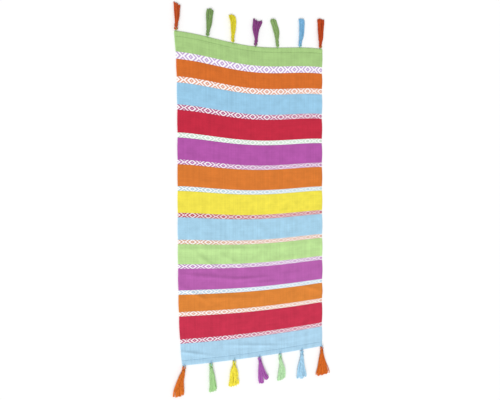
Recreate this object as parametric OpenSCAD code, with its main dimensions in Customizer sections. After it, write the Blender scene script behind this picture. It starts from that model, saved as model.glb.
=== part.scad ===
// Flat-woven cotton runner rug with patterned bands and yarn tassels, millimetres.
// It lies flat on the floor: X across the width, Y along the length with the far end at +Y, Z up.

/* [Cloth] */
// Length of the cloth between its two hemmed ends
rug_length = 1200; // [900:10:1500]
// Width of the cloth half way along
rug_width = 600; // [560:5:640]
// Thickness of the woven cloth
cloth_t = 3; // [2:0.5:4]
// Height of a patterned band once the weave has settled
border_h = 15.5; // [12:0.5:18]
// Extra height of the first patterned band, which is beaten less firmly
border_extra = 10.5; // [0:0.5:14]
// How far the weft sags in the middle of the width, half way along the rug
weft_sag = 14.5; // [0:0.5:18]
// How much more it sags at the far end, and how much less at the near end
weft_sag_change = 8; // [0:0.5:10]

/* [Hems] */
// Depth of the turned hem
hem_depth = 19; // [15:1:25]
// Thickness of the hem, two layers of cloth sewn together
hem_t = 5; // [4:0.5:5.5]
// Length of one stitch
stitch_l = 6; // [3:0.5:8]
// Distance from one stitch to the next
stitch_pitch = 10; // [10:1:16]

/* [Tassels] */
// Radius of the tie loop, to the middle of its yarn
tie_r = 6.5; // [6.5:0.1:7.5]
// Radius of the tie yarn
tie_yarn_r = 0.8; // [0.6:0.1:0.9]
// Radius of the bundle's loop round the tie, to the middle of the bundle
eye_r = 5; // [5:0.1:5.2]
// Radius of the bundle where it is folded over the tie
bundle_r = 2.8; // [2.4:0.1:2.8]
// Radius of the bundle where it is wrapped
neck_r = 5.2; // [4.8:0.1:5.4]
// Thickness of the wrapped yarn
wrap_t = 1.4; // [1:0.1:1.5]
// Length of the wrapping along the bundle
wrap_l = 9; // [6:0.5:12]
// Half the height of a skirt's cut end, as it lies
skirt_half_h = 7.3; // [6.5:0.1:7.4]

/* [Hidden] */
WHOLE_ROUND = 48;
HULL_ROUND = 32;
SEGMENTS = 16; // straight pieces in a weft line
THIN = 0.4; // discs that a skirt is stretched between

// Each colour band's height as a share of the regular height, from the far end.
BAND_SHARE = [0.94, 0.79, 1, 1.03, 1, 1, 1, 1.02, 0.92, 0.98, 0.79, 1.04, 1.01];
BAND_NAMES = ["green", "orange", "light_blue", "red", "purple", "orange", "yellow", "light_blue",
              "light_green", "purple", "orange", "crimson", "light_blue"];
BAND_COLOURS = ["#a7cb83", "#d66f2b", "#99c9e6", "#c52a42", "#b458aa", "#da7b32", "#f2e34d", "#a7d2ea",
                "#bbe096", "#b962af", "#de8638", "#c9324e", "#aed5ed"];
BORDERS = len(BAND_SHARE) - 1;

// Each tassel's place along its hem, lean from straight out (towards +X), length and width of its cut end.
TASSELS = 7;
FAR_X = [-303, -184, -85, 9, 102, 202, 295];
FAR_LEAN = [4, 7.5, 0, 8, -9, 4.5, 1];
FAR_LENGTH = [104, 104, 104, 106, 110, 114, 122];
FAR_WIDTH = [28, 26, 31, 42, 28, 31, 35];
NEAR_X = [-286, -184, -92, 12, 100, 196, 287];
NEAR_LEAN = [-9, 4, -2, 12, 3, 1, 0.5];
NEAR_LENGTH = [116, 109, 100, 103, 106, 115, 116];
NEAR_WIDTH = [40, 36, 44, 48, 46, 46, 63];
TASSEL_COLOURS = ["#d8641f", "#6fb24f", "#f4de1e", "#a9379f", "#86c95f", "#8fc6ee", "#d8641f"];

// The tie runs through the hem's end edge, so that its circle stands just outside that edge.
tie_out = 1.5;
tie_z = tie_r + tie_yarn_r + 0.3;
channel_r = tie_yarn_r + 0.3;
tassel_pivot = tie_out + tie_r; // the tie's outermost yarn, from the hem's edge
eye_out = eye_r - bundle_r - tie_yarn_r - 0.3; // the eye's centre beyond that yarn
neck_from = eye_out + eye_r - 0.5;
wrap_from = eye_out + 6.6;
skirt_from = wrap_from + wrap_l;
BULGE_SHARE = 0.45; // how far down its length a skirt has nearly all its width
BULGE_WIDTH = 0.78;
stitch_w = 0.9;
stitch_h = 0.6;
stitch_inset = 1.8; // from the hem's inner line

half_length = rug_length / 2;
function border_height(i) = border_h + border_extra * exp(-i / 2);
function sum(list, n) = n == 0 ? 0 : list[n - 1] + sum(list, n - 1);
border_heights = [for (i = [0 : BORDERS - 1]) border_height(i)];
band_h = (rug_length - sum(border_heights, BORDERS)) / sum(BAND_SHARE, BORDERS + 1);

// Height along the rug of each line where the weft changes, at the selvedges.
function band_top(i) = half_length - sum(BAND_SHARE, i) * band_h - sum(border_heights, i);
function band_bottom(i) = band_top(i) - BAND_SHARE[i] * band_h;

// The cloth isn't quite a rectangle: it draws in along its length. u runs from -1 at the near end to 1.
function left_reach(u) = rug_width / 2 + 1 - 3.6 * u - 1.7 * pow(u, 2) + 12.8 * pow(u, 5);
function right_reach(u) = rug_width / 2 - 2.5 + 5 * u + 3 * pow(u, 3);

// A weft line crosses the rug in a shallow sag. v runs from -1 at the left selvedge to 1.
function sag_at(u) = weft_sag + weft_sag_change * u;
function sag_shape(u, v) = pow(max(0, 1 - v * v), 1.7 + 0.8 * u);
function weft_y(y, v) = y - sag_at(y / half_length) * sag_shape(y / half_length, v);
function weft_x(y, v) = let (u = y / half_length, l = left_reach(u), r = right_reach(u)) ((r - l) + (r + l) * v) / 2;
function weft_line(y) = [for (i = [0 : SEGMENTS]) let (v = 2 * i / SEGMENTS - 1) [weft_x(y, v), weft_y(y, v)]];
function backwards(list) = [for (i = [len(list) - 1 : -1 : 0]) list[i]];
function v_of(y, x) = let (u = y / half_length, l = left_reach(u), r = right_reach(u)) (2 * x - (r - l)) / (r + l);

// The two ends. way is 1 at the far end and -1 at the near end.
function end_y(way) = way * half_length;
function hem_y(way) = way * (half_length - hem_depth);
function edge_y(way, x) = weft_y(end_y(way), v_of(end_y(way), x));
function tassel_x(way) = way > 0 ? FAR_X : NEAR_X;
function tassel_lean(way) = way > 0 ? FAR_LEAN : NEAR_LEAN;
function tassel_length(way) = way > 0 ? FAR_LENGTH : NEAR_LENGTH;
function tassel_width(way) = way > 0 ? FAR_WIDTH : NEAR_WIDTH;

function two_digits(n) = n < 10 ? str("0", n) : str(n);
function band_node(i) = str("band_", two_digits(i + 1), "_", BAND_NAMES[i]);
function tassel_node(way, i, piece) = str(way > 0 ? "far" : "near", "_tassel_", i + 1, "_", piece);

// A strip of cloth between two weft lines.
module strip(y_top, y_bottom, thickness) {
    linear_extrude(thickness) polygon(concat(weft_line(y_top), backwards(weft_line(y_bottom))));
}

// One colour band. The first and last stop where the hem begins.
module band(i) {
    y_top = i == 0 ? hem_y(1) : band_top(i);
    y_bottom = i == BORDERS ? hem_y(-1) : band_bottom(i);
    color(BAND_COLOURS[i]) strip(y_top, y_bottom, cloth_t);
}

// The white bands with their coloured diamonds, between the colour bands.
module patterned_borders() {
    color("white") for (i = [0 : BORDERS - 1]) strip(band_bottom(i), band_top(i + 1), cloth_t);
}

// A turned hem, with a hole worked through it for each tassel's tie.
module hem(way) {
    color(BAND_COLOURS[way > 0 ? 0 : BORDERS])
        difference() {
            strip(way > 0 ? end_y(1) : hem_y(-1), way > 0 ? hem_y(1) : end_y(-1), hem_t);
            for (x = tassel_x(way)) at_tie(way, x) ring(tie_r, channel_r);
        }
}

// The sewing thread that holds the hems, one row of stitches along each.
module hem_stitching() {
    count = floor((rug_width - 4 * stitch_pitch) / stitch_pitch);
    color("white") for (way = [1, -1], i = [0 : count])
        let (x = (i - count / 2) * stitch_pitch, y = hem_y(way) + way * stitch_inset)
            translate([x, weft_y(y, v_of(y, x)), hem_t + stitch_h / 2])
                cube([stitch_l, stitch_w, stitch_h], center = true);
}

// A torus standing in the YZ plane.
module ring(radius, yarn_r) {
    rotate([0, 90, 0]) rotate_extrude($fn = WHOLE_ROUND) translate([radius, 0]) circle(yarn_r, $fn = WHOLE_ROUND);
}

// The middle of a tie loop on one of the hems.
module at_tie(way, x) {
    translate([x, edge_y(way, x) + way * tie_out, tie_z]) children();
}

// A tassel's own frame: its origin is the tie's outermost yarn and it points along +Y.
module at_tassel(way, i) {
    translate([tassel_x(way)[i], edge_y(way, tassel_x(way)[i]) + way * tassel_pivot, tie_z])
        rotate([0, 0, (way > 0 ? 0 : 180) - way * tassel_lean(way)[i]])
            children();
}

// The loop of yarn through the hem that carries the tassel.
module tassel_tie(way, i) {
    color(way > 0 ? "#8fc46a" : "#86c4ea") at_tie(way, tassel_x(way)[i]) ring(tie_r, tie_yarn_r);
}

// The bundle of yarn: an eye folded over the tie, a round neck, and a skirt that spreads to its cut end.
module tassel_yarn(way, i) {
    reach = tassel_length(way)[i] - tassel_pivot;
    half_w = tassel_width(way)[i] / 2;
    bulge_at = skirt_from + BULGE_SHARE * (reach - skirt_from);
    color(TASSEL_COLOURS[i]) at_tassel(way, i) {
        translate([0, eye_out, 0]) rotate_extrude($fn = WHOLE_ROUND)
            translate([eye_r, 0]) circle(bundle_r, $fn = WHOLE_ROUND);
        translate([0, neck_from, 0]) rotate([-90, 0, 0])
            cylinder(h = skirt_from + 1 - neck_from, r = neck_r, $fn = WHOLE_ROUND);
        hull() {
            skirt_slice(skirt_from, neck_r + 0.4, neck_r + 0.4);
            skirt_slice(bulge_at, max(BULGE_WIDTH * half_w, neck_r + 2), skirt_half_h - 0.3);
            skirt_slice(reach - THIN, half_w, skirt_half_h);
        }
    }
}

// An oval disc across the skirt.
module skirt_slice(y, half_w, half_h) {
    translate([0, y, 0]) rotate([-90, 0, 0]) scale([half_w, half_h, 1]) cylinder(h = THIN, r = 1, $fn = HULL_ROUND);
}

// The yarn wound round the neck.
module tassel_wrap(way, i) {
    color(TASSEL_COLOURS[i]) at_tassel(way, i)
        translate([0, wrap_from, 0]) rotate([-90, 0, 0])
            difference() {
                cylinder(h = wrap_l, r = neck_r + wrap_t, $fn = WHOLE_ROUND);
                translate([0, 0, -1]) cylinder(h = wrap_l + 2, r = neck_r, $fn = WHOLE_ROUND);
            }
}

for (i = [0 : BORDERS]) {
    band(i);
}
patterned_borders();
hem(1);  // far_hem
hem(-1);  // near_hem
hem_stitching();
for (way = [1, -1], i = [0 : TASSELS - 1]) {
    tassel_tie(way, i);
    tassel_yarn(way, i);
    tassel_wrap(way, i);
}
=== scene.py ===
"""A flat-woven cotton runner rug with patterned borders and yarn tassels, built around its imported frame.

X runs across the rug, Y along it with the far end at +Y, and Z is up. Sizes are in millimetres until a mesh
is made. u runs from -1 at the cloth's near end to 1 at its far end, v from -1 at the left selvedge to 1.
"""

import math
from collections import namedtuple

import bpy
import numpy as np
from mathutils import Matrix, Vector


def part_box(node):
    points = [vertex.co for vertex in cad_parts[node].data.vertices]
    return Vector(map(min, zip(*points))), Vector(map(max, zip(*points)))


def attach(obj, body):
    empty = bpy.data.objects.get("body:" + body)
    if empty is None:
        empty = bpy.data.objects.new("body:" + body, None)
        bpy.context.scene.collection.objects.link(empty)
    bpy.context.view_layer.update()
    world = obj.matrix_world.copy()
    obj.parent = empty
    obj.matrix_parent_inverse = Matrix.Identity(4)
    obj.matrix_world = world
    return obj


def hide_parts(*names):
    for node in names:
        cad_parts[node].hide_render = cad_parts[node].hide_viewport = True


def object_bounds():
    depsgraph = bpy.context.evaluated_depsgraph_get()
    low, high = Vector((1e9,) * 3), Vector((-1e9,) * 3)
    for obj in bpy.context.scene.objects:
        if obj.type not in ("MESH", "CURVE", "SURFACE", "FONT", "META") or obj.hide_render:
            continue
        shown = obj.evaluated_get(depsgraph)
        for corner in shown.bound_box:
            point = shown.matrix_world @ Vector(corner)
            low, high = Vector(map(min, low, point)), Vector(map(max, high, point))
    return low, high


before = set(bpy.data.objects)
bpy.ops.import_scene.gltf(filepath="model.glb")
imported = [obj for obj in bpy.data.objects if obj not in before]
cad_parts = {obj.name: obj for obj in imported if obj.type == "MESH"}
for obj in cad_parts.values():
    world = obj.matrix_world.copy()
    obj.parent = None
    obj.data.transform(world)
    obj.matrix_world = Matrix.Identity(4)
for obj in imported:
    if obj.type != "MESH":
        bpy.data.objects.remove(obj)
CAD_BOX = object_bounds()

MM = 0.001
NEAR = -1
FAR = 1
END_NAMES = {FAR: "far", NEAR: "near"}
UP = np.array([0.0, 0.0, 1.0])
ALONG = np.array([0.0, 1.0, 0.0])
ACROSS = np.array([1.0, 0.0, 0.0])

# ---- the rug's layout, as the CAD part has it ----
HALF_LENGTH = 600.0
HALF_WIDTH = 300.0
CLOTH_T = 3.0
HEM_DEPTH = 19.0
BORDER_HEIGHT = 15.5
BORDER_EXTRA = 10.5
WEFT_SAG = 14.5
WEFT_SAG_CHANGE = 8.0
BANDS = (  # slot, share of the regular height and colour, from the far end
    ("green", 0.94, "#a7cb83"),
    ("orange", 0.79, "#d66f2b"),
    ("light_blue", 1.0, "#99c9e6"),
    ("red", 1.03, "#c52a42"),
    ("purple", 1.0, "#b458aa"),
    ("orange", 1.0, "#da7b32"),
    ("yellow", 1.0, "#f2e34d"),
    ("light_blue", 1.02, "#a7d2ea"),
    ("light_green", 0.92, "#bbe096"),
    ("purple", 0.98, "#b962af"),
    ("orange", 0.79, "#de8638"),
    ("crimson", 1.04, "#c9324e"),
    ("light_blue", 1.01, "#aed5ed"),
)
BORDERS = len(BANDS) - 1
LEFT_SWELL = 1.0  # how far a band's selvedge stands out past the borders beside it
RIGHT_SWELL = 2.2
WAVINESS = 0.25

# ---- the weave ----
RIB_PITCH = 5.0  # two warp ends lie under each rib
COLUMNS_PER_RIB = 4
COLUMNS = int(2 * HALF_WIDTH / RIB_PITCH * COLUMNS_PER_RIB)
PICK = 2.0  # a row of weft, beaten down
RIB_RISE = 0.22
BEAD_RISE = 0.16
SELVEDGE_COLUMNS = 3  # the outermost columns, which round the cloth's edge
EDGE_INSET = 0.04  # keeps the outermost column from thinning to nothing
SEAM_RELIEF = 0.3  # the share of the relief that is left where two strips meet
HEM_RELIEF = 0.8
HEM_UNDERSIDE = 0.5  # the share of its relief that a hem has underneath
HEM_OFF_FLOOR = 0.05

# ---- the patterned borders ----
DIAMOND_PITCH = 60.0
DIAMOND_START = -6.0
DIAMOND_SLOPE = 2.3
COLOURED_LEVELS = (0.45, 1.6, 2.7)  # the pattern_level that each coloured line follows
PATTERN_SOFTNESS = 0.2  # the yarns' round sides soften the pattern's edges
FLOAT_RISE = 0.12  # how far the coloured yarn stands on the white ground
BORDER_RELIEF = 0.1  # the share of the ribs that still shows under it
BORDER_PICK = 1.1
WHITE = "#ffffff"
BORDER_YARNS = (  # the coloured yarn, and how broad its lines are
    ("#b48ccd", 0.46),
    ("#de8c64", 0.5),
    ("#ac1a74", 0.6),
    ("#bcd8c0", 0.5),
    ("#aa38a0", 0.55),
    ("#a2c6d4", 0.5),
    ("#b40a34", 0.68),
    ("#d0854c", 0.5),
    ("#a844b0", 0.5),
    ("#aacbe0", 0.5),
    ("#e09a74", 0.5),
    ("#b81a6c", 0.6),
)

# ---- the tassels ----
# Lengths run from the hem's edge. The higher a skirt's fullness, the later it widens. Bow and drift are
# towards +X: the bow in the middle of the skirt, the drift at its end. Rounding is how much shorter the
# outermost yarns are, and below 0 the middle ones. Slant is how much shorter the edge towards +X is, and
# below 0 the other edge. A skirt that has parted in two has a gap, and its lobe towards +X may be shorter.
Tassel = namedtuple(
    "Tassel",
    "length width fullness bow drift rounding slant gap shorter",
    defaults=(0.0, 0.0, 0.0, 6.0, 0.0, 0.0, 0.0),
)
TASSELS = {
    FAR: (
        Tassel(104, 28, 0.9, bow=1.5, drift=-2.0, rounding=-2.0, slant=9.0),
        Tassel(104, 26, 0.35, bow=2.5, drift=0.5, rounding=7.0, slant=1.0),
        Tassel(104, 31, 0.7, bow=3.0, drift=-2.0, rounding=11.0),
        Tassel(106, 42, 0.8, bow=-4.5, drift=1.0, rounding=-7.0, gap=1.5),
        Tassel(110, 28, 0.65, bow=4.5, drift=-3.0, rounding=9.0),
        Tassel(114, 31, 0.5, bow=4.0, rounding=2.0),
        Tassel(122, 35, 0.4, bow=2.0, drift=-1.5, rounding=5.0, slant=-5.0),
    ),
    NEAR: (
        Tassel(116, 40, 0.45, bow=-6.0, drift=-4.5, rounding=6.0, slant=11.0, gap=0.8),
        Tassel(109, 36, 0.6, bow=1.5, drift=1.0, rounding=5.0, slant=6.0),
        Tassel(100, 44, 0.4, bow=-0.5, drift=-1.5, rounding=5.0, slant=6.0),
        Tassel(103, 48, 0.6, bow=-3.0, drift=1.0, rounding=6.0, gap=4.0, shorter=7.0),
        Tassel(106, 46, 0.9, bow=4.0, drift=-2.0, rounding=5.0, slant=8.0),
        Tassel(115, 46, 0.7, bow=-2.0, rounding=9.0, slant=8.0, gap=1.2),
        Tassel(116, 63, 0.75, bow=0.5, rounding=5.0, gap=1.5),
    ),
}
TASSEL_SLOTS = (
    "yarn_orange",
    "yarn_green",
    "yarn_yellow",
    "yarn_purple",
    "yarn_green",
    "yarn_light_blue",
    "yarn_orange",
)
# The far tassels have the same yarns as the near ones, drawn darker as painted shade.
TASSEL_COLOURS_FAR_SHADED = {
    FAR: ("#be4f20", "#7a9a5c", "#dacd30", "#86407f", "#86a566", "#7cb4d8", "#b84416"),
    NEAR: ("#dc7626", "#aad694", "#f2e448", "#b060b4", "#b9e0b0", "#a9d2ea", "#d46a20"),
}
TIE_YARNS = {FAR: ("yarn_green", "#8fc46a"), NEAR: ("yarn_light_blue", "#86c4ea")}
TIE_RADIUS = 6.5
HEAD_OUT = 0.5  # the folded head's centre, outside the tie's outermost yarn
HEAD_RADIUS = 4.2
HEAD_BUNDLE = 3.45
NECK_RADIUS = 5.2
WRAP_FROM = 7.7
WRAP_LENGTH = 9.0
HEAD_ANGLES = (-8, -50, -90, -130, -172)
NECK_SHARES = (0.15, 0.8)  # where a yarn's curve is held along the wrapping
PIVOT_OUT = 8.0  # the tie's outermost yarn, outside the hem's edge
SKIRT_STATIONS = (0.06, 0.16, 0.28, 0.42, 0.57, 0.72, 0.86, 1.0)
SKIRT_HEIGHT = 4.4  # half of it, at the cut end
CLUMPS = 8  # strands that cling together, and swing and end together
CLUMP_TWIST = 2.6
CLUMP_WAVE = 1.3
YARN_AT_HEAD = 0.92  # the radius of one yarn
YARN_AT_NECK = 0.78
YARN_PAST_NECK = 1.15
YARN_AT_CUT = 1.75
YARNS_AT_LEAST = 9  # in a bundle, and one more for each YARN_PER_WIDTH of the skirt's width
YARN_PER_WIDTH = 4.2
CURVE_STEPS = 4
BINDING_YARN = 0.72
TIE_PLY = 0.5
STITCH_THREAD = 0.42
PLIES = 2
GOLDEN = 0.618034  # spreads the shades of a piece's yarns evenly

# ---- the studio ----
VIEW_TILT = 23.5
VIEW_ROLL = -0.567
VIEW_DISTANCE = 1.961
VIEW_TARGET = Vector((-0.0182, -0.0083, 0))
SENSOR = 36
LENS = 37.13
WORLD_STRENGTH = 0.58
SUN_STRENGTH = 2.15
SUN_FROM = Vector((-0.5, -0.65, 1.0))
SUN_SPREAD = 35
FLOOR_HALF = 6.0
FLOOR_GAP = 0.0006


# ---------------------------------------------------------------- shape of the cloth

def border_height(i):
    """The borders towards the far end are beaten less firmly, so they are higher."""
    return BORDER_HEIGHT + BORDER_EXTRA * math.exp(-i / 2)


SHARES = [share for _, share, _ in BANDS]
BAND_HEIGHT = (2 * HALF_LENGTH - sum(border_height(i) for i in range(BORDERS))) / sum(SHARES)


def band_top(i):
    return HALF_LENGTH - sum(SHARES[:i]) * BAND_HEIGHT - sum(border_height(k) for k in range(i))


def band_bottom(i):
    return band_top(i) - SHARES[i] * BAND_HEIGHT


def left_reach(u):
    """How far the left selvedge is from the middle line: it flares at both corners."""
    return HALF_WIDTH + 1 - 3.6 * u - 1.7 * u**2 + 12.8 * u**5


def right_reach(u):
    """How far the right selvedge is from the middle line: the cloth widens towards the far end."""
    return HALF_WIDTH - 2.5 + 5 * u + 3 * u**3


def weft_point(y, v):
    """The x and y at v of the weft that meets the selvedges at y."""
    u = y / HALF_LENGTH
    left, right = left_reach(u), right_reach(u)
    sag = (WEFT_SAG + WEFT_SAG_CHANGE * u) * np.maximum(0, 1 - v * v) ** (1.7 + 0.8 * u)
    return ((right - left) + (right + left) * v) / 2, y - sag


def selvedge_swell(y):
    """1 in the middle of a plain band and 0 in a border: the bands stand a little wider."""
    swell = np.zeros_like(y)
    for i in range(len(BANDS)):
        share = np.clip((band_top(i) - y) / (band_top(i) - band_bottom(i)), 0, 1)
        swell += np.sin(math.pi * share)
    return swell


# Soft folds where the rug hasn't settled, the higher ones towards the near end: the middle's x and y, the
# reach along the fold, its breadth, its height and its turn in degrees.
FOLDS = (
    (-110, -190, 170, 9, 4.0, -2),
    (200, -185, 80, 9, 2.4, 6),
    (-190, -238, 60, 10, 3.6, -38),
    (-80, -245, 80, 10, 3.0, -30),
    (160, -235, 90, 10, 2.4, 4),
    (-170, -292, 130, 9, 4.4, -8),
    (-20, -305, 70, 7, 4.0, 0),
    (40, -326, 90, 8, 2.8, -2),
    (-235, -352, 60, 9, 3.8, -32),
    (-110, -372, 110, 9, 3.2, -4),
    (240, -362, 60, 9, 3.4, -18),
    (-130, -450, 110, 12, 2.4, -6),
    (0, -562, 110, 6, 3.6, -7),
    (-255, -560, 60, 6, 4.0, -14),
    (170, -555, 90, 9, 2.2, 5),
    (120, -150, 120, 14, 1.1, 8),
    (-60, -110, 150, 16, 1.0, -4),
    (60, -60, 160, 16, 1.0, 5),
    (-190, 60, 110, 14, 1.3, -10),
    (110, 110, 150, 16, 1.1, 4),
    (-90, 190, 150, 18, 1.0, -3),
    (150, 280, 120, 16, 1.2, 7),
    (-160, 350, 110, 16, 1.1, -8),
    (60, 395, 150, 18, 1.0, 3),
    (-190, 480, 90, 14, 1.4, -16),
    (-90, 540, 120, 12, 1.3, -12),
    (130, 510, 130, 16, 1.2, 5),
)


def lift(x, y):
    """How far the cloth's underside stands off the floor, millimetres."""
    height = WAVINESS + WAVINESS * np.sin(x / 41 + 1.3 * np.sin(y / 67)) * np.sin(y / 53 + 0.8)
    for fold_x, fold_y, reach, breadth, rise, turn in FOLDS:
        c, s = math.cos(math.radians(turn)), math.sin(math.radians(turn))
        along = (x - fold_x) * c + (y - fold_y) * s
        over = (y - fold_y) * c - (x - fold_x) * s
        height = height + rise * np.exp(-(along / reach) ** 2 - (over / breadth) ** 2)
    return height


def cloth_point(y, v, z):
    """A point of the laid cloth: z is its height over the underside."""
    x, weft_y = weft_point(y, v)
    x = x + np.sign(v) * np.abs(v) ** 6 * selvedge_swell(y) * np.where(v > 0, RIGHT_SWELL, LEFT_SWELL)
    return np.stack([x, weft_y, lift(x, weft_y) + z], axis=-1)


# ---------------------------------------------------------------- meshes

def build_mesh(name, points, quads, triangles=(), attributes=None):
    """A mesh object from arrays of points in millimetres and faces."""
    points = np.asarray(points, float).reshape(-1, 3) * MM
    quads = np.asarray(quads, int).reshape(-1, 4)
    triangles = np.asarray(triangles, int).reshape(-1, 3)
    mesh = bpy.data.meshes.new(name)
    mesh.vertices.add(len(points))
    mesh.vertices.foreach_set("co", points.ravel())
    corners = np.concatenate([quads.ravel(), triangles.ravel()])
    first_triangle = quads.size
    starts = np.concatenate([np.arange(len(quads)) * 4, first_triangle + np.arange(len(triangles)) * 3])
    mesh.loops.add(len(corners))
    mesh.loops.foreach_set("vertex_index", corners)
    mesh.polygons.add(len(starts))
    mesh.polygons.foreach_set("loop_start", starts)
    mesh.polygons.foreach_set("use_smooth", np.ones(len(starts), bool))
    mesh.update(calc_edges=True)
    for key, values in (attributes or {}).items():
        attribute = mesh.attributes.new(key, "FLOAT_VECTOR", "POINT")
        attribute.data.foreach_set("vector", np.asarray(values, np.float32).ravel())
    piece = bpy.data.objects.new(name, mesh)
    bpy.context.collection.objects.link(piece)
    return piece


def grid_quads(rows, columns, first=0, flip=False):
    """The faces of a grid of points that are numbered row by row from first."""
    index = first + np.arange(rows * columns).reshape(rows, columns)
    corners = [index[:-1, :-1], index[:-1, 1:], index[1:, 1:], index[1:, :-1]]
    quads = np.stack(corners, axis=-1).reshape(-1, 4)
    return quads[:, ::-1] if flip else quads


def shell(name, top, bottom, flat):
    """A closed sheet between two grids of points. Both run down the rug row by row and from left to right.

    flat is kept times MM as the attribute laid_flat: x and y on the loom, and a value for the material.
    """
    rows, columns = top.shape[:2]
    under = rows * columns
    index = np.arange(under).reshape(rows, columns)
    rim = np.concatenate([index[0, :-1], index[:-1, -1], index[-1, :0:-1], index[:0:-1, 0]])
    following = np.roll(rim, -1)
    sides = np.stack([following, rim, rim + under, following + under], axis=-1)
    quads = np.concatenate([
        grid_quads(rows, columns, flip=True),
        grid_quads(rows, columns, first=under),
        sides[:, ::-1],
    ])
    points = np.concatenate([top.reshape(-1, 3), bottom.reshape(-1, 3)])
    laid = np.concatenate([flat.reshape(-1, 3), flat.reshape(-1, 3)]) * MM
    return build_mesh(name, points, quads, attributes={"laid_flat": laid})


def weave_relief(v, rows):
    """The ribs over the warp, and the beads that alternate pick by pick: a row of heights for each pick."""
    phase = math.pi * v * HALF_WIDTH / RIB_PITCH
    alternate = np.where(rows % 2 == 0, 1.0, -1.0)[:, None]
    return RIB_RISE * np.cos(2 * phase)[None, :] + BEAD_RISE * alternate * np.cos(phase)[None, :]


def edge_rounding(columns):
    """The share of its thickness that the cloth has at each column: full, but for the rounded selvedges."""
    from_edge = np.minimum(np.arange(columns), np.arange(columns)[::-1]) / SELVEDGE_COLUMNS
    return np.sqrt(1 - (1 - np.clip(from_edge, EDGE_INSET, 1)) ** 2)


def pattern_level(up, x):
    """How far a place is from the nearest diamond's centre. up runs from -1 to 1 over the border's height."""
    along = np.abs(((x - DIAMOND_START) / DIAMOND_PITCH + 0.5) % 1 - 0.5) * 2
    return np.abs(up) + DIAMOND_SLOPE * along


def coloured_share(level, line):
    """1 where the coloured yarn is on top: rings, the chevrons beside them, and notches halfway between."""
    share = np.zeros_like(level)
    for middle in COLOURED_LEVELS:
        inside = line / 2 - np.abs(level - middle)
        share += np.clip(0.5 + inside / (2 * PATTERN_SOFTNESS), 0, 1)
    return share


def woven_strip(name, y_top, y_bottom, pick=PICK, relief_share=1.0, line=None):
    """A closed strip of cloth between two weft lines. line is the breadth of its pattern's lines, if any."""
    rows = max(4, 1 + round((y_top - y_bottom) / pick))
    ys = np.linspace(y_top, y_bottom, rows)
    v = np.linspace(-1, 1, COLUMNS + 1)
    y, v_grid = np.meshgrid(ys, v, indexing="ij")
    pick_number = np.round((HALF_LENGTH - ys) / PICK).astype(int)
    relief = weave_relief(v, pick_number) * relief_share
    relief[[0, -1]] *= SEAM_RELIEF
    up = 2 * (y - y_bottom) / (y_top - y_bottom) - 1
    if line is not None:
        relief = relief + FLOAT_RISE * coloured_share(pattern_level(up, v_grid * HALF_WIDTH), line)
    half = edge_rounding(len(v))[None, :] * (CLOTH_T / 2)
    middle = CLOTH_T / 2 + RIB_RISE + BEAD_RISE
    top = cloth_point(y, v_grid, middle + half + relief)
    bottom = cloth_point(y, v_grid, middle - half + relief)
    return shell(name, top, bottom, np.stack([v_grid * HALF_WIDTH, y, up], axis=-1))


def tube_net(count, stations, sides, closed):
    """The faces of tubes whose points run tube by tube and station by station, and the points' numbers."""
    index = np.arange(count * stations * sides).reshape(count, stations, sides)
    ahead = np.roll(index, -1, axis=1) if closed else index[:, 1:]
    here = index if closed else index[:, :-1]
    quads = np.stack([here, np.roll(here, -1, axis=2), np.roll(ahead, -1, axis=2), ahead], axis=-1)
    return quads.reshape(-1, 4), index


def tubes(name, paths, radius, reference, sides=6, ply=0.0, ply_pitch=6.0, closed=False, draw=0):
    """Yarns along paths, an array of yarns by stations by xyz. reference is a direction that no path follows.

    ply is how deep the grooves between a yarn's two plies are, and draw shifts the shades of its yarns.
    """
    paths = np.asarray(paths, float)
    count, stations = paths.shape[:2]
    if closed:
        tangent = np.roll(paths, -1, axis=1) - np.roll(paths, 1, axis=1)
    else:
        tangent = np.gradient(paths, axis=1)
    tangent /= np.linalg.norm(tangent, axis=-1, keepdims=True)
    right = np.cross(tangent, reference)
    right /= np.linalg.norm(right, axis=-1, keepdims=True)
    above = np.cross(right, tangent)
    step = np.linalg.norm(np.diff(paths, axis=1), axis=-1)
    run = np.concatenate([np.zeros((count, 1)), np.cumsum(step, axis=1)], axis=1)
    around = np.arange(sides) * (2 * math.pi / sides)
    radius = np.broadcast_to(radius, (count, stations))
    twist = 2 * math.pi * run / ply_pitch
    r = radius[..., None] * (1 + ply * np.cos(2 * around[None, None, :] - twist[..., None]))
    points = (
        paths[:, :, None, :]
        + (r * np.cos(around))[..., None] * right[:, :, None, :]
        + (r * np.sin(around))[..., None] * above[:, :, None, :]
    )
    quads, index = tube_net(count, stations, sides, closed)
    points = points.reshape(-1, 3)
    yarn = np.zeros((count, stations, sides, 3))
    yarn[..., 0] = run[..., None] * MM
    yarn[..., 1] = around / (2 * math.pi)
    yarn[..., 2] = (draw + np.arange(count) * GOLDEN)[:, None, None] % 1
    yarn = yarn.reshape(-1, 3)
    triangles = ()
    if not closed:
        tips = np.concatenate([paths[:, 0], paths[:, -1]])
        first_tip = len(points)
        starts = first_tip + np.arange(count)[:, None]
        ends = starts + count
        start_ring, end_ring = index[:, 0], index[:, -1]
        fan = np.broadcast_to(starts, start_ring.shape)
        start_caps = np.stack([fan, np.roll(start_ring, -1, axis=1), start_ring], axis=-1)
        fan = np.broadcast_to(ends, end_ring.shape)
        end_caps = np.stack([fan, end_ring, np.roll(end_ring, -1, axis=1)], axis=-1)
        triangles = np.concatenate([start_caps.reshape(-1, 3), end_caps.reshape(-1, 3)])
        points = np.concatenate([points, tips])
        tip_yarn = np.concatenate([yarn[index[:, 0, 0]], yarn[index[:, -1, 0]]])
        yarn = np.concatenate([yarn, tip_yarn])
    return build_mesh(name, points, quads, triangles, attributes={"yarn": yarn})


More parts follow.
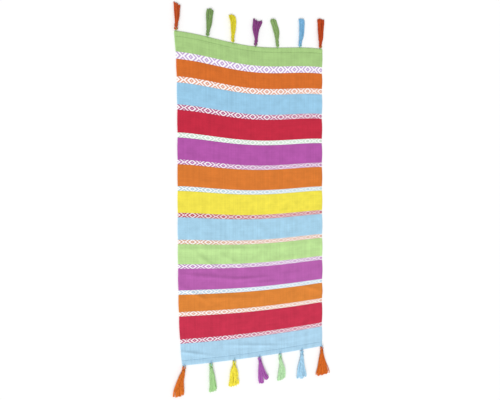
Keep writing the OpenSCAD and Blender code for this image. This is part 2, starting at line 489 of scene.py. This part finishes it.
def through(points, steps):
    """A smooth curve through each row of control points, an array of curves by points by xyz."""
    points = np.asarray(points, float)
    ahead = 2 * points[:, :1] - points[:, 1:2]
    beyond = 2 * points[:, -1:] - points[:, -2:-1]
    padded = np.concatenate([ahead, points, beyond], axis=1)
    before, start, end, after = padded[:, :-3], padded[:, 1:-2], padded[:, 2:-1], padded[:, 3:]
    pieces = []
    for t in np.arange(steps) / steps:
        pieces.append(0.5 * (
            2 * start
            + (end - before) * t
            + (2 * before - 5 * start + 4 * end - after) * t**2
            + (3 * start - before - 3 * end + after) * t**3
        ))
    curve = np.stack(pieces, axis=2).reshape(len(points), -1, 3)
    return np.concatenate([curve, points[:, -1:]], axis=1)


# ---------------------------------------------------------------- materials

def linear(colour):
    """The scene-linear value of an sRGB colour such as "#a7cb83"."""
    channels = [int(colour[i : i + 2], 16) / 255 for i in (1, 3, 5)]
    return [c / 12.92 if c <= 0.04045 else ((c + 0.055) / 1.055) ** 2.4 for c in channels] + [1.0]


class Nodes:
    """A material's node tree, with short calls to add and join nodes."""

    def __init__(self, name, roughness=0.9, sheen=0.12):
        self.material = bpy.data.materials.new(name)
        self.material.use_nodes = True
        self.tree = self.material.node_tree
        self.shader = self.tree.nodes["Principled BSDF"]
        self.shader.inputs["Roughness"].default_value = roughness
        self.shader.inputs["Sheen Weight"].default_value = sheen
        self.shader.inputs["Sheen Roughness"].default_value = 0.6
        self.shader.inputs["Specular IOR Level"].default_value = 0.1

    def add(self, kind, **settings):
        node = self.tree.nodes.new(kind)
        for key, value in settings.items():
            setattr(node, key, value)
        return node

    def join(self, output, socket):
        self.tree.links.new(output, socket)

    def math(self, operation, a, b=None):
        node = self.add("ShaderNodeMath", operation=operation)
        for socket, value in zip(node.inputs, (a, b)):
            if value is None:
                continue
            if isinstance(value, (int, float)):
                socket.default_value = value
            else:
                self.join(value, socket)
        return node.outputs[0]

    def ramp(self, value, start, end):
        """0 where value is at start or before it, 1 at end and past it."""
        node = self.add("ShaderNodeMapRange", clamp=True)
        self.join(value, node.inputs["Value"])
        node.inputs["From Min"].default_value = start
        node.inputs["From Max"].default_value = end
        return node.outputs[0]

    def attribute(self, name):
        return self.add("ShaderNodeAttribute", attribute_name=name).outputs["Vector"]

    def split(self, vector):
        node = self.add("ShaderNodeSeparateXYZ")
        self.join(vector, node.inputs[0])
        return node.outputs

    def noise(self, vector, stretch, detail=3.0, roughness=0.55):
        """Noise from 0 to 1 whose grain is 1/stretch metres along each axis."""
        scaled = self.add("ShaderNodeVectorMath", operation="MULTIPLY")
        self.join(vector, scaled.inputs[0])
        scaled.inputs[1].default_value = stretch
        node = self.add("ShaderNodeTexNoise")
        node.inputs["Scale"].default_value = 1.0
        node.inputs["Detail"].default_value = detail
        node.inputs["Roughness"].default_value = roughness
        self.join(scaled.outputs[0], node.inputs["Vector"])
        return node.outputs["Fac"]

    def blend(self, first, second, share):
        """A colour that goes from first to second as share goes from 0 to 1."""
        node = self.add("ShaderNodeMix", data_type="RGBA")
        self.join(share, node.inputs["Factor"])
        node.inputs[6].default_value = first
        node.inputs[7].default_value = second
        return node.outputs[2]

    def tint(self, colour, shade):
        """colour, fixed or from another node, times shade, a value round 1, into the shader's base colour."""
        node = self.add("ShaderNodeMix", data_type="RGBA", blend_type="MULTIPLY", clamp_result=False)
        node.inputs["Factor"].default_value = 1.0
        grey = self.add("ShaderNodeCombineColor")
        for socket in grey.inputs:
            self.join(shade, socket)
        if isinstance(colour, list):
            node.inputs[6].default_value = colour
        else:
            self.join(colour, node.inputs[6])
        self.join(grey.outputs[0], node.inputs[7])
        self.join(node.outputs[2], self.shader.inputs["Base Color"])

    def bump(self, height, distance, strength=1.0):
        node = self.add("ShaderNodeBump")
        node.inputs["Strength"].default_value = strength
        node.inputs["Distance"].default_value = distance
        self.join(height, node.inputs["Height"])
        self.join(node.outputs[0], self.shader.inputs["Normal"])


def weave(nodes, colour, contrast=1.0, roughening=0.6):
    """Weft-faced cotton: ribs over the warp, single wefts of slightly different shades, and soft mottling,
    with painted shade in the grooves between the ribs and between the picks.

    The shade is 0.93 on average, whatever the contrast: the noises run round 0.5 and the waves round 0.
    """
    flat = nodes.attribute("laid_flat")
    x, y, _ = nodes.split(flat)
    streaks = nodes.noise(flat, (9, 420, 1), detail=2)
    mottling = nodes.noise(flat, (26, 34, 1), detail=4)
    warp_lines = nodes.noise(flat, (180, 3, 1), detail=1)
    # Painted shade: rib and pick darken the colour in the grooves between the ribs and between the picks.
    rib = nodes.math("COSINE", nodes.math("MULTIPLY", x, 2 * math.pi / (RIB_PITCH * MM)))
    pick = nodes.math("COSINE", nodes.math("MULTIPLY", y, 2 * math.pi / (PICK * MM)))
    shade = 0.93 - 0.37 * contrast
    for part, depth in ((streaks, 0.2), (mottling, 0.34), (warp_lines, 0.2), (rib, 0.04), (pick, 0.015)):
        shade = nodes.math("ADD", shade, nodes.math("MULTIPLY", part, depth * contrast))
    nodes.tint(colour, shade)
    fibres = nodes.noise(flat, (700, 1900, 1), detail=2)
    nodes.bump(nodes.math("ADD", fibres, nodes.math("MULTIPLY", pick, 0.35)), 0.0004, roughening)


def woven_cotton(name, colour):
    nodes = Nodes(name, sheen=0.04)
    weave(nodes, linear(colour))
    return nodes.material


def patterned_cotton(name, colour, line):
    """White cotton with a coloured yarn that comes to the top: pattern_level and coloured_share, in nodes."""
    nodes = Nodes(name, sheen=0.04)
    x, _, up = nodes.split(nodes.attribute("laid_flat"))
    repeats = nodes.math("DIVIDE", nodes.math("SUBTRACT", x, DIAMOND_START * MM), DIAMOND_PITCH * MM)
    along = nodes.math("PINGPONG", repeats, 0.5)
    from_middle = nodes.math("ABSOLUTE", nodes.math("DIVIDE", up, MM))
    level = nodes.math("ADD", from_middle, nodes.math("MULTIPLY", along, 2 * DIAMOND_SLOPE))
    coloured = None
    for middle in COLOURED_LEVELS:
        off = nodes.math("ABSOLUTE", nodes.math("SUBTRACT", level, middle))
        inside = nodes.ramp(off, line / 2 + PATTERN_SOFTNESS, line / 2 - PATTERN_SOFTNESS)
        coloured = inside if coloured is None else nodes.math("ADD", coloured, inside)
    weave(nodes, nodes.blend(linear(WHITE), linear(colour), coloured), contrast=0.3, roughening=0.04)
    return nodes.material


def twisted_yarn(name, colour, pitch=0.0035, depth=0.1, mottling=0.0):
    """Plied cotton yarn: its plies wind round it with painted shade in the grooves between them, and no two
    yarns have quite the same shade.
    """
    nodes = Nodes(name, roughness=0.9, sheen=0.05)
    yarn = nodes.attribute("yarn")
    run, around, number = nodes.split(yarn)
    turn = nodes.math("SUBTRACT", nodes.math("MULTIPLY", around, PLIES), nodes.math("DIVIDE", run, pitch))
    wave = nodes.math("COSINE", nodes.math("MULTIPLY", turn, 2 * math.pi))
    # Painted shade: wave lightens the plies' crowns and darkens the grooves between them, by depth.
    shade = nodes.math("ADD", 0.92, nodes.math("MULTIPLY", wave, depth))
    shade = nodes.math("ADD", shade, nodes.math("MULTIPLY", number, 0.14))
    patches = nodes.noise(yarn, (110, 0, 17), detail=1)
    shade = nodes.math("ADD", shade, nodes.math("MULTIPLY", nodes.math("SUBTRACT", patches, 0.5), mottling))
    fuzz = nodes.noise(yarn, (900, 9, 40), detail=2)
    shade = nodes.math("ADD", shade, nodes.math("MULTIPLY", nodes.math("SUBTRACT", fuzz, 0.5), 2 * depth))
    nodes.tint(linear(colour), shade)
    nodes.bump(nodes.math("ADD", nodes.math("MULTIPLY", wave, 0.5), fuzz), 0.0003, 0.7)
    return nodes.material


def tassel_yarn(name, colour):
    """The looser yarn of the tassels, with deeper painted shade between its plies and lighter and darker
    patches along its length.
    """
    return twisted_yarn(name, colour, pitch=0.0042, depth=0.13, mottling=0.7)


def floor_paint():
    """Matt white."""
    nodes = Nodes("white_floor", roughness=0.9, sheen=0.0)
    nodes.shader.inputs["Base Color"].default_value = (0.92, 0.92, 0.92, 1)
    return nodes.material


MATERIALS = {}


def material(make, key, colour):
    """One material for each kind and colour of cloth or yarn."""
    name = f"{key}_{colour[1:]}"
    if name not in MATERIALS:
        MATERIALS[name] = make(name, colour)
    return MATERIALS[name]


def finished(piece, body, slot, look, *nodes):
    """Give a piece its look and the body it rides on, and hide the CAD nodes that it stands for. slot is not
    used.
    """
    piece.data.materials.append(look)
    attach(piece, body)
    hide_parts(*nodes)


# ---------------------------------------------------------------- the cloth's pieces

def make_bands():
    """The 13 plain bands. The outermost two end at their hems."""
    for i, (colour_name, _, colour) in enumerate(BANDS):
        y_top = HALF_LENGTH - HEM_DEPTH if i == 0 else band_top(i)
        y_bottom = HEM_DEPTH - HALF_LENGTH if i == BORDERS else band_bottom(i)
        node = f"band_{i + 1:02d}_{colour_name}"
        band = woven_strip(f"woven_{node}", y_top, y_bottom)
        finished(band, "rug", f"cloth_{colour_name}", material(woven_cotton, "cloth", colour), node)


def make_borders():
    """The 12 patterned borders between the bands."""
    for i, (colour, line) in enumerate(BORDER_YARNS):
        y_top, y_bottom = band_bottom(i), band_top(i + 1)
        name = f"border_{i + 1:02d}"
        border = woven_strip(name, y_top, y_bottom, BORDER_PICK, BORDER_RELIEF, line)
        look = patterned_cotton(f"{name}_cotton", colour, line)
        finished(border, "rug", "cloth_white", look, "patterned_borders")


def hem_fold():
    """The hem's section, a hairpin of cloth from the hem's inner line out over the fold and back under it.

    Each point has its distance out from the inner line, the height of the cloth's middle, and half its
    thickness.
    """
    over = [(0.0, 1.5, 1.5), (1.5, 1.55, 1.48), (3.5, 2.0, 1.42), (5.5, 2.42, 1.36), (7.2, 2.66, 1.3)]
    over += [(9.2, 2.91, 1.25), (11.2, 3.08, 1.21), (13.2, 3.17, 1.2), (15.0, 3.2, 1.2)]
    turn = np.linspace(0.3, math.pi - 0.3, 6)
    nose = [(16.3 + 1.5 * math.sin(a), 2.1 + 1.1 * math.cos(a), 1.05) for a in turn]
    under = [(15.0, 1.0, 0.95), (13.0, 0.98, 0.92), (11.0, 0.93, 0.86), (9.0, 0.85, 0.77), (7.0, 0.72, 0.62)]
    under += [(5.5, 0.58, 0.45)]
    return np.array(over + nose + under)


def make_hem(way):
    """One end's cloth past the hem's inner line, folded over and under as one sheet."""
    section = hem_fold()
    rows = len(section)
    v = np.linspace(-1, 1, COLUMNS + 1)
    inner = way * (HALF_LENGTH - HEM_DEPTH)
    q, z, half = section[:, 0], section[:, 1], section[:, 2]
    dq, dz = np.gradient(q), np.gradient(z)
    length = np.hypot(dq, dz)
    normal_q, normal_z = -dz / length, dq / length
    rounding = edge_rounding(len(v))[None, :]
    relief = weave_relief(v, np.arange(rows)) * HEM_RELIEF
    relief[0] *= SEAM_RELIEF
    offset_up = half[:, None] * rounding + relief
    offset_down = -half[:, None] * rounding + relief * HEM_UNDERSIDE
    grids = []
    base = RIB_RISE + BEAD_RISE
    for offset in (offset_up, offset_down):
        y = inner + way * (q[:, None] + normal_q[:, None] * offset)
        height = z[:, None] + normal_z[:, None] * offset + base
        grids.append(cloth_point(y, np.broadcast_to(v, y.shape), np.maximum(height, HEM_OFF_FLOOR)))
    run = np.concatenate([[0], np.cumsum(np.hypot(np.diff(q), np.diff(z)))])
    flat_y = np.broadcast_to((inner + way * run)[:, None], (rows, len(v)))
    flat = np.stack([np.broadcast_to(v * HALF_WIDTH, flat_y.shape), flat_y, 0 * flat_y], axis=-1)
    top, bottom = grids
    if way > 0:
        top, bottom, flat = top[::-1], bottom[::-1], flat[::-1]
    name = END_NAMES[way]
    hem = shell(f"{name}_hem_fold", top, bottom, flat)
    colour_name, _, colour = BANDS[0 if way > 0 else -1]
    finished(hem, "rug", f"cloth_{colour_name}", material(woven_cotton, "cloth", colour), f"{name}_hem")


def make_hem_stitches(way, colour):
    """Running stitches just outside the hem's inner line, each dipping into the cloth at both ends."""
    stitch, pitch, inset, rise = 3.6, 6.0, 2.0, 0.35
    starts = np.arange(-HALF_WIDTH + 9, HALF_WIDTH - 12, pitch)
    share = np.array([0.0, 0.18, 0.5, 0.82, 1.0])
    v = (starts[:, None] + stitch * share) / HALF_WIDTH
    y = np.full_like(v, way * (HALF_LENGTH - HEM_DEPTH + inset))
    dip = np.array([-0.6, 0.25, 0.4, 0.25, -0.6])
    paths = cloth_point(y, v, CLOTH_T + rise + dip)
    name = END_NAMES[way]
    stitches = tubes(f"{name}_hem_running_stitches", paths, STITCH_THREAD, ALONG, sides=6)
    finished(stitches, "rug", "sewing_thread", material(twisted_yarn, "thread", colour), "hem_stitching")


# ---------------------------------------------------------------- the tassels

def place(way, number):
    """The centre of a tassel's tie, and its own frame: from the tie's outermost yarn out along +Y."""
    name = f"{END_NAMES[way]}_tassel_{number}"
    low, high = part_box(f"{name}_tie")
    tie = (Vector(low) + Vector(high)) / 2
    low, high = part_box(f"{name}_wrap")
    wrap = (Vector(low) + Vector(high)) / 2
    pivot = tie + Vector((0, way * TIE_RADIUS * MM, 0))
    out = (wrap - pivot).normalized()
    turn = math.atan2(-out.x, out.y)
    return tie / MM, Matrix.Translation(pivot / MM) @ Matrix.Rotation(turn, 4, "Z")


def moved(points, matrix):
    """Points of a tassel's own frame, in the rug's."""
    m = np.array(matrix)
    return points @ m[:3, :3].T + m[:3, 3]


def sunflower(count, turn=0.0):
    """Points spread evenly over a disc of radius 1."""
    k = np.arange(count) + 0.5
    angle = k * math.pi * (3 - math.sqrt(5)) + turn
    return np.stack([np.sqrt(k / count) * np.cos(angle), np.sqrt(k / count) * np.sin(angle)], axis=-1)


def skirt_paths(way, number, legs, pivot_height, random):
    """The control points of each leg from the neck to its cut end. legs are places in the neck's disc.

    cut is how much longer or shorter than the rest a leg is, and side is -1 or 1 for the two lobes.
    """
    tassel = TASSELS[way][number - 1]
    reach = tassel.length - PIVOT_OUT
    skirt_from = WRAP_FROM + WRAP_LENGTH
    clumps = sunflower(CLUMPS, turn=number + 0.4 * way)
    clump = np.argmin(np.linalg.norm(legs[:, None] - clumps[None], axis=-1), axis=1)
    centre = clumps[clump]
    own = legs - centre
    swing = random.uniform(-1, 1, len(clumps))[clump]
    phase = random.uniform(0, 2 * math.pi, len(clumps))[clump]
    side = way * np.sign(centre[:, 0])
    outermost = np.abs(legs[:, 0]) ** 2.5
    cut = random.uniform(-2.5, 1.0, len(legs)) + random.uniform(-2.0, 0.0, len(clumps))[clump]
    cut -= abs(tassel.rounding) * (outermost if tassel.rounding > 0 else 1 - outermost)
    cut -= abs(tassel.slant) * (1 + np.sign(tassel.slant) * way * legs[:, 0]) / 2
    cut -= tassel.shorter * (side > 0)
    lean_over = random.uniform(-0.6, 0.6, (len(legs), 2))
    start_half = NECK_RADIUS - YARN_AT_NECK
    end_half = tassel.width / 2 - YARN_AT_CUT - tassel.gap
    floor = -pivot_height
    stations = []
    for share in SKIRT_STATIONS:
        twist = swing * CLUMP_TWIST * share
        c, s = np.cos(twist), np.sin(twist)
        turned = np.stack([own[:, 0] * c - own[:, 1] * s, own[:, 0] * s + own[:, 1] * c], axis=-1)
        spread = centre + (1 - 0.3 * share) * turned
        ease = share**tassel.fullness
        half_width = start_half + (end_half - start_half) * ease
        half_height = start_half + (SKIRT_HEIGHT - start_half) * ease
        middle = (floor + SKIRT_HEIGHT + YARN_AT_CUT) * share**0.9
        wave = CLUMP_WAVE * share * np.sin(share * 8 + phase)
        parting = way * side * tassel.gap * share**1.6
        x = spread[:, 0] * half_width + lean_over[:, 0] * 2 * share + wave + parting
        x = x + way * (tassel.bow * math.sin(math.pi * share) + tassel.drift * share**2)
        z = middle + spread[:, 1] * half_height + lean_over[:, 1] * share
        y = skirt_from + share * (reach - skirt_from + cut)
        stations.append(np.stack([x, y, np.maximum(z, floor + YARN_AT_CUT + 0.2)], axis=-1))
    return np.stack(stations, axis=1)


def make_strands(way, number, matrix, random):
    """The bundle: yarns from one cut end up through the wrapped neck, over the tie, and back to the other."""
    yarns = round(YARNS_AT_LEAST + TASSELS[way][number - 1].width / YARN_PER_WIDTH)
    bundle = sunflower(yarns, turn=number)
    order = random.permutation(2 * yarns)
    legs = sunflower(2 * yarns)
    legs = legs[np.argsort(legs[:, 0] + 0.001 * order)]
    left, right = legs[:yarns], legs[yarns:]
    left = left[np.argsort(left[:, 1] + 0.4 * random.uniform(-1, 1, len(left)))]
    right = right[np.argsort(right[:, 1] + 0.4 * random.uniform(-1, 1, len(right)))]
    bundle = bundle[np.argsort(bundle[:, 1])]
    pivot_height = matrix.translation.z
    halves = []
    spread = NECK_RADIUS - YARN_AT_NECK
    for half in (left, right):
        skirt = skirt_paths(way, number, half, pivot_height, random)
        neck = []
        for share in NECK_SHARES:
            y = WRAP_FROM + WRAP_LENGTH * share
            neck.append(np.stack([half[:, 0] * spread, np.full(len(half), y), half[:, 1] * spread], axis=-1))
        halves.append(np.concatenate([np.stack(neck, axis=1), skirt], axis=1))
    head = []
    for angle in np.radians(HEAD_ANGLES):
        radius = HEAD_RADIUS + bundle[:, 0] * (HEAD_BUNDLE - YARN_AT_HEAD)
        head.append(np.stack([
            -radius * math.cos(angle),
            HEAD_OUT + radius * math.sin(angle),
            bundle[:, 1] * (HEAD_BUNDLE - YARN_AT_HEAD),
        ], axis=-1))
    head = np.stack(head, axis=1)
    control = np.concatenate([halves[0][:, ::-1], head, halves[1]], axis=1)
    paths = through(control, CURVE_STEPS)
    along_neck = [YARN_AT_NECK] * len(NECK_SHARES)
    along_skirt = np.linspace(YARN_PAST_NECK, YARN_AT_CUT, len(SKIRT_STATIONS))
    leg_thickness = np.concatenate([along_neck, along_skirt])
    thickness = np.concatenate([leg_thickness[::-1], [YARN_AT_HEAD] * len(HEAD_ANGLES), leg_thickness])
    at = np.linspace(0, len(thickness) - 1, paths.shape[1])
    radius = np.interp(at, np.arange(len(thickness)), thickness)
    name = f"{END_NAMES[way]}_tassel_{number}"
    laid = moved(paths, matrix)
    strands = tubes(f"{name}_strands", laid, radius, UP, ply=0.18, ply_pitch=8.0, draw=number * 0.13)
    # At the far end this colour holds painted shade.
    look = material(tassel_yarn, "yarn", TASSEL_COLOURS_FAR_SHADED[way][number - 1])
    finished(strands, name, TASSEL_SLOTS[number - 1], look, f"{name}_yarn")


def make_binding(way, number, matrix):
    """The yarn wound round the neck from the head to the skirt, with both ends tucked in."""
    turns = WRAP_LENGTH / (2 * BINDING_YARN * 0.97)
    stations = int(turns * 22)
    tucked, tuck = 8, 1.6
    angle = np.linspace(0, 2 * math.pi * turns, stations)
    radius = NECK_RADIUS + BINDING_YARN * 0.9 + 0.12 * np.sin(angle * 0.37)
    radius[:tucked] -= np.linspace(tuck, 0, tucked)
    radius[-tucked:] -= np.linspace(0, tuck, tucked)
    y = np.linspace(WRAP_FROM + BINDING_YARN, WRAP_FROM + WRAP_LENGTH - BINDING_YARN, stations)
    path = np.stack([radius * np.cos(angle), y, radius * np.sin(angle)], axis=-1)[None]
    name = f"{END_NAMES[way]}_tassel_{number}"
    binding = tubes(f"{name}_binding", moved(path, matrix), BINDING_YARN, ALONG, sides=8)
    # At the far end this colour holds painted shade.
    look = material(tassel_yarn, "yarn", TASSEL_COLOURS_FAR_SHADED[way][number - 1])
    finished(binding, name, TASSEL_SLOTS[number - 1], look, f"{name}_wrap")


def make_tie(way, number, centre):
    """The loop of two-ply yarn through the hem that carries the tassel."""
    stations, turns, offset = 96, 11, 0.42
    angle = np.linspace(0, 2 * math.pi, stations, endpoint=False)
    plies = []
    for start in (0, math.pi):
        twist = turns * angle + start
        radius = TIE_RADIUS + offset * np.cos(twist)
        x = offset * np.sin(twist)
        plies.append(np.stack([x, radius * np.cos(angle), radius * np.sin(angle)], axis=-1))
    paths = np.stack(plies) + np.array(centre)
    name = f"{END_NAMES[way]}_tassel_{number}"
    slot, colour = TIE_YARNS[way]
    tie = tubes(f"{name}_twisted_tie", paths, TIE_PLY, ACROSS, sides=8, closed=True)
    finished(tie, f"{name}_loop", slot, material(twisted_yarn, "tie", colour), f"{name}_tie")


def make_tassels():
    """Seven tassels at each end, each with random draws of its own."""
    for way in (FAR, NEAR):
        for number in range(1, len(TASSELS[way]) + 1):
            random = np.random.default_rng(100 * (way + 2) + number)
            tie_centre, matrix = place(way, number)
            make_tie(way, number, tie_centre)
            make_strands(way, number, matrix, random)
            make_binding(way, number, matrix)


# ---------------------------------------------------------------- camera, lights and floor

def add_camera():
    """The rug is seen from above and a little from its left."""
    tilt, roll = math.radians(VIEW_TILT), math.radians(VIEW_ROLL)
    back = Vector((-math.sin(tilt), 0, math.cos(tilt)))
    level = Vector((math.cos(tilt), 0, math.sin(tilt)))
    right = level * math.cos(roll) + Vector((0, 1, 0)) * math.sin(roll)
    up = back.cross(right)
    data = bpy.data.cameras.new("camera")
    data.sensor_width = SENSOR
    data.lens = LENS
    data.clip_end = 50
    camera = bpy.data.objects.new("camera", data)
    bpy.context.collection.objects.link(camera)
    turn = Matrix((right, up, back)).transposed().to_4x4()
    camera.matrix_world = Matrix.Translation(VIEW_TARGET + back * VIEW_DISTANCE) @ turn
    bpy.context.scene.camera = camera


def add_studio():
    """A plain pale floor, even light from all round, and one soft light from the near left."""
    half = FLOOR_HALF
    below = CAD_BOX[0][2] - FLOOR_GAP
    corners = [(-half, -half, below), (half, -half, below), (half, half, below), (-half, half, below)]
    mesh = bpy.data.meshes.new("floor")
    mesh.from_pydata(corners, [], [(0, 1, 2, 3)])
    floor = bpy.data.objects.new("floor", mesh)
    bpy.context.collection.objects.link(floor)
    mesh.materials.append(floor_paint())
    world = bpy.data.worlds.new("studio")
    world.use_nodes = True
    background = world.node_tree.nodes["Background"]
    background.inputs["Color"].default_value = (1, 1, 1, 1)
    background.inputs["Strength"].default_value = WORLD_STRENGTH
    bpy.context.scene.world = world
    sun = bpy.data.lights.new("key", "SUN")
    sun.energy = SUN_STRENGTH
    sun.angle = math.radians(SUN_SPREAD)
    lamp = bpy.data.objects.new("key", sun)
    bpy.context.collection.objects.link(lamp)
    lamp.rotation_euler = (-SUN_FROM).to_track_quat("-Z", "Y").to_euler()
    bpy.context.scene.view_settings.view_transform = "Standard"


add_camera()
add_studio()
make_bands()
make_borders()
for end, thread in ((FAR, "#a0c67c"), (NEAR, "#a5d2ee")):
    make_hem(end)
    make_hem_stitches(end, thread)
make_tassels()
